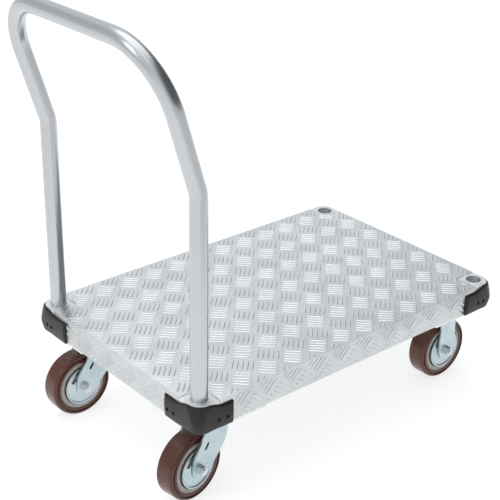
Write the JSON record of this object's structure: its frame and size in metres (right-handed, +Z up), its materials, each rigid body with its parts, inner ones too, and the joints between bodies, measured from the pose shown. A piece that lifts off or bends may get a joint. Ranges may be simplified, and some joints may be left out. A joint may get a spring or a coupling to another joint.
{
  "type": "flatbed platform truck",
  "caption": "Hand platform truck: tread-plate aluminium deck with rubber corner bumpers, lift-out tube push handle, swivel casters at the handle end and rigid casters at the far end.",
  "frame": {"origin": "on the floor, under the middle of the overall bounding box", "axes": "+X runs along the deck away from the handle, +Y to the left of someone pushing, +Z up"},
  "size_m": [0.8111, 0.491, 0.8357],
  "materials": {
    "tread_plate": "bright mill-finish five-bar tread plate",
    "channel_aluminium": "mill finish sheet",
    "cast_aluminium": "as-cast, tumbled",
    "handle_tube": "satin drawn tube",
    "bumper_rubber": "matte moulded rubber",
    "black_steel": "black oxide",
    "black_plastic": "moulded, matte",
    "zinc_pressings": "blue-white zinc plate",
    "zinc_fasteners": "zinc plate",
    "machined_steel": "turned and oiled",
    "wheel_core": "painted grey casting",
    "wheel_tread": "semi-gloss polyurethane"
  },
  "bodies": {
    "deck": {"deck_pan": "tread_plate", "cross_channel_handle_end": "channel_aluminium", "cross_channel_middle": "channel_aluminium", "cross_channel_far_end": "channel_aluminium", "corner_casting_rear_left": "cast_aluminium", "corner_casting_rear_right": "cast_aluminium", "corner_casting_front_right": "cast_aluminium", "corner_casting_front_left": "cast_aluminium", "bumper_rear_left": "bumper_rubber", "bumper_rear_right": "bumper_rubber", "bumper_front_right": "bumper_rubber", "bumper_front_left": "bumper_rubber", "bumper_screws": "black_steel", "casting_bolts": "zinc_fasteners", "caster_bolts": "zinc_fasteners", "swivel_head_rear_left": "zinc_pressings", "swivel_head_rear_right": "zinc_pressings", "king_pin_rear_left": "machined_steel", "king_pin_rear_right": "machined_steel", "rigid_fork_front_right": "zinc_pressings", "rigid_fork_front_left": "zinc_pressings", "axle_bolt_front_right": "zinc_fasteners", "axle_bolt_front_left": "zinc_fasteners", "axle_nut_front_right": "zinc_fasteners", "axle_nut_front_left": "zinc_fasteners", "axle_sleeve_front_right": "machined_steel", "axle_sleeve_front_left": "machined_steel", "thread_guards_front_right": "zinc_pressings", "thread_guards_front_left": "zinc_pressings"},
    "handle": {"handle_tube": "handle_tube", "handle_foot_plugs": "black_plastic"},
    "swivel_left": {"swivel_balls_rear_left": "machined_steel", "swivel_fork_rear_left": "zinc_pressings", "axle_bolt_rear_left": "zinc_fasteners", "axle_nut_rear_left": "zinc_fasteners", "axle_sleeve_rear_left": "machined_steel", "thread_guards_rear_left": "zinc_pressings"},
    "swivel_right": {"swivel_balls_rear_right": "machined_steel", "swivel_fork_rear_right": "zinc_pressings", "axle_bolt_rear_right": "zinc_fasteners", "axle_nut_rear_right": "zinc_fasteners", "axle_sleeve_rear_right": "machined_steel", "thread_guards_rear_right": "zinc_pressings"},
    "wheel_rear_left": {"wheel_bearings_rear_left": "machined_steel", "wheel_core_rear_left": "wheel_core", "wheel_tread_rear_left": "wheel_tread"},
    "wheel_rear_right": {"wheel_bearings_rear_right": "machined_steel", "wheel_core_rear_right": "wheel_core", "wheel_tread_rear_right": "wheel_tread"},
    "wheel_front_right": {"wheel_bearings_front_right": "machined_steel", "wheel_core_front_right": "wheel_core", "wheel_tread_front_right": "wheel_tread"},
    "wheel_front_left": {"wheel_bearings_front_left": "machined_steel", "wheel_core_front_left": "wheel_core", "wheel_tread_front_left": "wheel_tread"}
  },
  "joints": [
    {"name": "handle_lift", "type": "slide", "parent": "deck", "child": "handle", "axis": [0, 0, 1], "range_m": [0, 0.06]},
    {"name": "swivel_left_turn", "type": "hinge", "parent": "deck", "child": "swivel_left", "pos_m": [-0.26302, 0.171, 0.148], "axis": [0, 0, 1], "continuous": true},
    {"name": "swivel_right_turn", "type": "hinge", "parent": "deck", "child": "swivel_right", "pos_m": [-0.26302, -0.171, 0.148], "axis": [0, 0, 1], "continuous": true},
    {"name": "wheel_rear_left_spin", "type": "hinge", "parent": "swivel_left", "child": "wheel_rear_left", "pos_m": [-0.31102, 0.171, 0.0625], "axis": [0, 1, 0], "continuous": true},
    {"name": "wheel_rear_right_spin", "type": "hinge", "parent": "swivel_right", "child": "wheel_rear_right", "pos_m": [-0.31055, -0.17768, 0.0625], "axis": [-0.1392, 0.9903, 0], "continuous": true},
    {"name": "wheel_front_right_spin", "type": "hinge", "parent": "deck", "child": "wheel_front_right", "pos_m": [0.33198, -0.171, 0.0625], "axis": [0, 1, 0], "continuous": true},
    {"name": "wheel_front_left_spin", "type": "hinge", "parent": "deck", "child": "wheel_front_left", "pos_m": [0.33198, 0.171, 0.0625], "axis": [0, 1, 0], "continuous": true}
  ]
}
